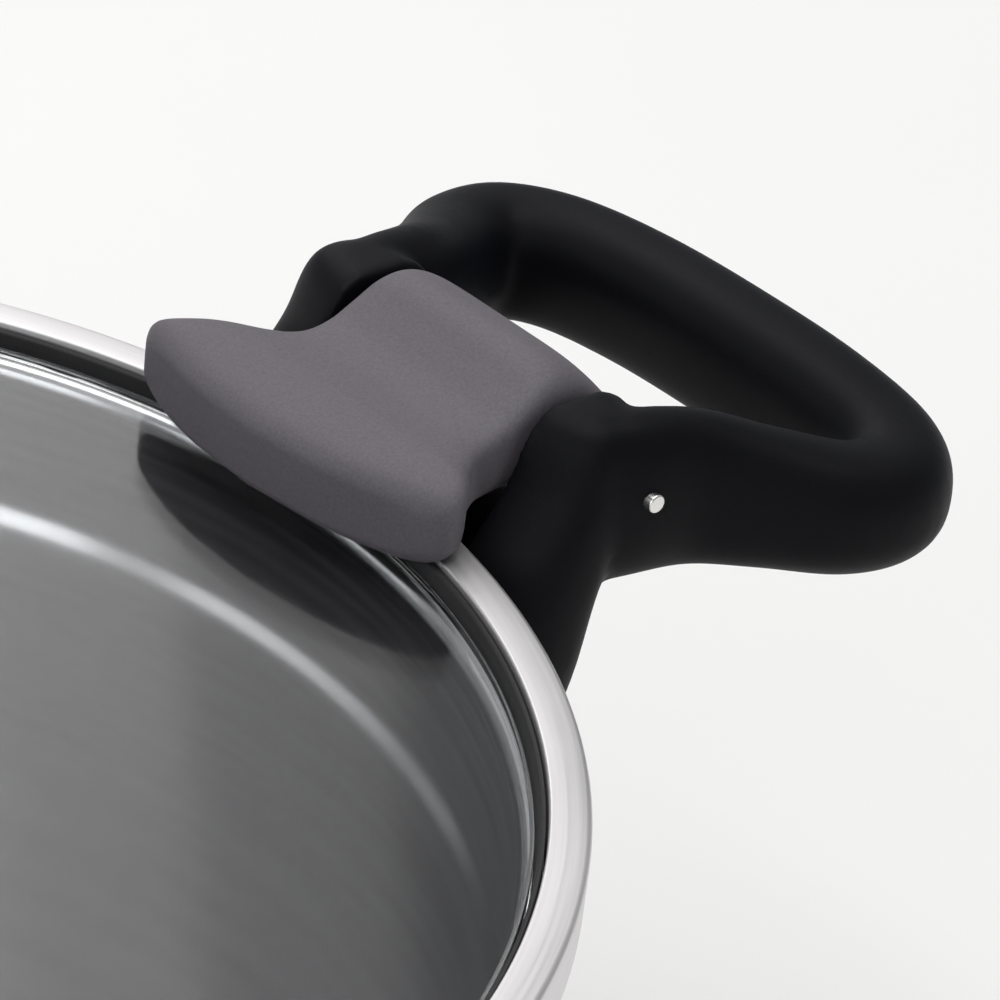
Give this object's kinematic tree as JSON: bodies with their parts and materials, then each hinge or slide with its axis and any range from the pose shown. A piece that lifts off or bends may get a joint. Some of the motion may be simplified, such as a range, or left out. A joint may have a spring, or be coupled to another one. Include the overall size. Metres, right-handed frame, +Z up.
{
  "type": "stovetop pressure cooker",
  "caption": "Stainless steel stovetop pressure cooker with a clear glass lid, black loop side handles and grey tilting lid clips hinged between the handle ears.",
  "frame": {"origin": "centre of the base's flat underside, on the pot's axis", "axes": "+Z up along the pot's axis, +X outward through the middle of the first handle and its clip, -X through the second"},
  "size_m": [0.3822, 0.236, 0.1741],
  "materials": {
    "stainless_steel": "brushed inside, satin rim",
    "aluminium": "plain",
    "tempered_glass": "clear, polished edge",
    "black_silicone": "matt",
    "black_soft_touch": "soft touch, slightly bluish black",
    "grey_plastic": "fine matt grain, warm grey",
    "spring_steel": "bright wire",
    "signal_red": "satin"
  },
  "bodies": {
    "pot": {"pot_shell": "stainless_steel", "base_core": "aluminium", "base_cap": "stainless_steel", "handle_loop_a": "black_soft_touch", "handle_loop_b": "black_soft_touch", "handle_bracket_a": "stainless_steel", "handle_bracket_b": "stainless_steel", "handle_screw_left_a": "stainless_steel", "handle_screw_right_a": "stainless_steel", "handle_screw_left_b": "stainless_steel", "handle_screw_right_b": "stainless_steel", "clip_pin_a": "stainless_steel", "clip_pin_b": "stainless_steel"},
    "lid": {"lid_glass": "tempered_glass", "lid_gasket": "black_silicone", "knob_washer": "black_silicone", "knob_foot": "black_soft_touch", "knob_grip": "black_soft_touch", "knob_inlay": "stainless_steel", "knob_bolt": "stainless_steel", "knob_under_washer": "black_silicone", "valve_seal": "black_silicone", "valve_body": "stainless_steel", "valve_nut": "stainless_steel", "valve_spring": "spring_steel", "safety_seal": "black_silicone", "safety_body": "stainless_steel", "safety_nut": "stainless_steel"},
    "clip_a_lever": {"clip_a": "grey_plastic", "clip_pad_a": "black_silicone", "clip_spring_a": "spring_steel"},
    "clip_b_lever": {"clip_b": "grey_plastic", "clip_pad_b": "black_silicone", "clip_spring_b": "spring_steel"},
    "valve_dial": {"valve_cap": "black_soft_touch"},
    "valve_stem": {"valve_plunger": "stainless_steel"},
    "pressure_pin": {"safety_pin": "signal_red"}
  },
  "joints": [
    {"name": "lid_lift", "type": "slide", "parent": "pot", "child": "lid", "axis": [0, 0, 1], "range_m": [0, 0.025]},
    {"name": "clip_a_tilt", "type": "hinge", "parent": "pot", "child": "clip_a_lever", "pos_m": [0.138, 0, 0.1473], "axis": [0, 1, 0], "range_deg": [0, 70]},
    {"name": "clip_b_tilt", "type": "hinge", "parent": "pot", "child": "clip_b_lever", "pos_m": [-0.138, 0, 0.1473], "axis": [0, -1, 0], "range_deg": [0, 70]},
    {"name": "valve_dial_turn", "type": "hinge", "parent": "lid", "child": "valve_dial", "pos_m": [-0.056, 0, 0.1543], "axis": [0, 0, 1], "range_deg": [0, 180]},
    {"name": "valve_stem_lift", "type": "slide", "parent": "lid", "child": "valve_stem", "axis": [0, 0, 1], "range_m": [0, 0.0024], "stiffness_N_per_m": 200, "springref_m": -0.002, "deforming": ["valve_spring"]},
    {"name": "pressure_pin_rise", "type": "slide", "parent": "lid", "child": "pressure_pin", "axis": [0, 0, 1], "range_m": [0, 0.002]}
  ],
  "couplings": [
    {"joint": "clip_a_tilt", "follows": "lid_lift", "rad_per_m": 48.86},
    {"joint": "clip_b_tilt", "follows": "lid_lift", "rad_per_m": 48.86}
  ]
}
